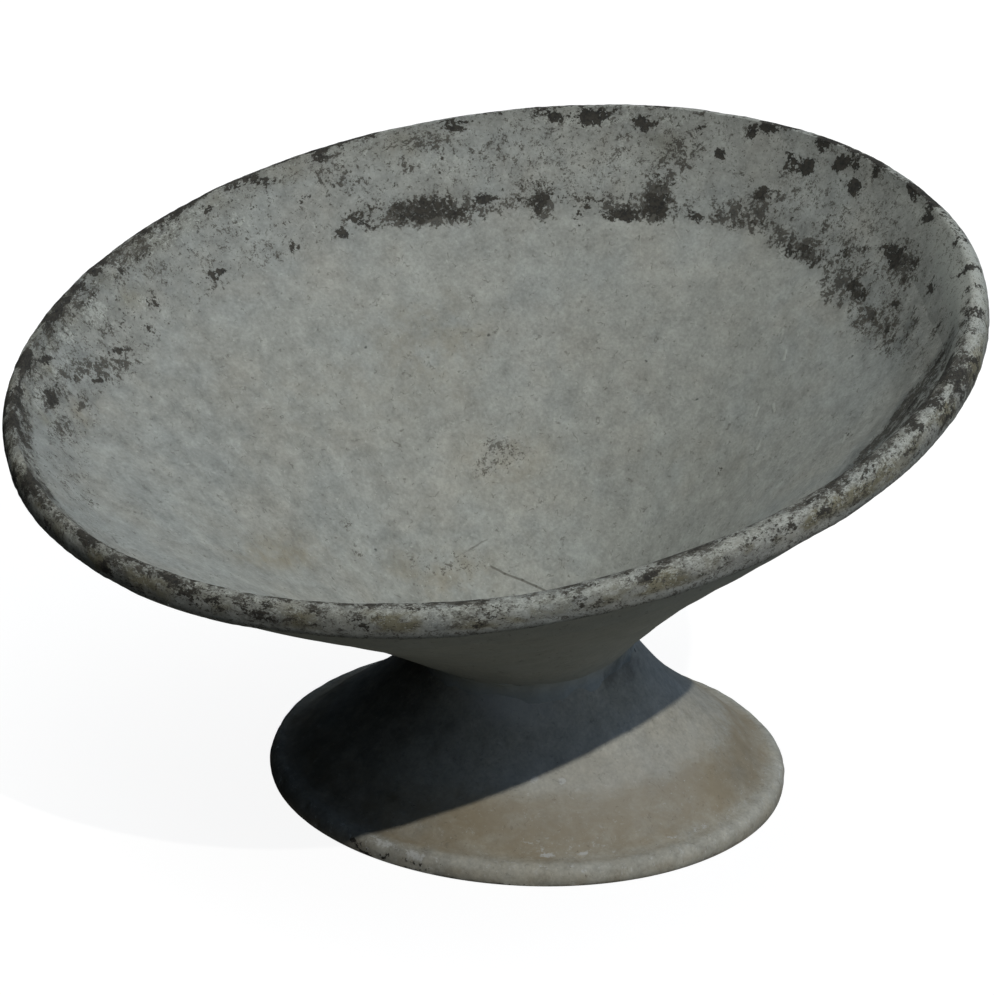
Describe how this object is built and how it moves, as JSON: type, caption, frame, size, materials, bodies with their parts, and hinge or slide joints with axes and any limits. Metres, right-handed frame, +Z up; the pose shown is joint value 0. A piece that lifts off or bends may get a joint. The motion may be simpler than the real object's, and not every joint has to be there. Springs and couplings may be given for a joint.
{
  "type": "concrete bowl planter",
  "caption": "Wide conical fibre-cement dish with a rolled rim, leaning on a flared hollow foot; a free-standing garden planter.",
  "frame": {"origin": "centre of the foot's ground ring, on the ground", "axes": "+Z up; the dish leans towards -Y, so its low side is the front; X runs across the lean"},
  "size_m": [0.9, 0.8794, 0.5539],
  "materials": {
    "dish_cement": "weathered grey fibre cement, matte, with dark lichen along the crease",
    "rim_cement": "weathered fibre cement, matte, mottled with dark and pale lichen",
    "neck_mortar": "matte cement mortar, hand smoothed",
    "foot_cement": "weathered fibre cement, matte, with ochre soil stains near the edge"
  },
  "bodies": {
    "root": {"dish_shell": "dish_cement", "floor_disc": "dish_cement", "rim_bead": "rim_cement", "neck_bed": "neck_mortar", "neck_fillet_outer": "neck_mortar", "neck_fillet_inner": "neck_mortar", "foot_shell": "foot_cement", "foot_edge": "foot_cement"}
  },
  "joints": []
}
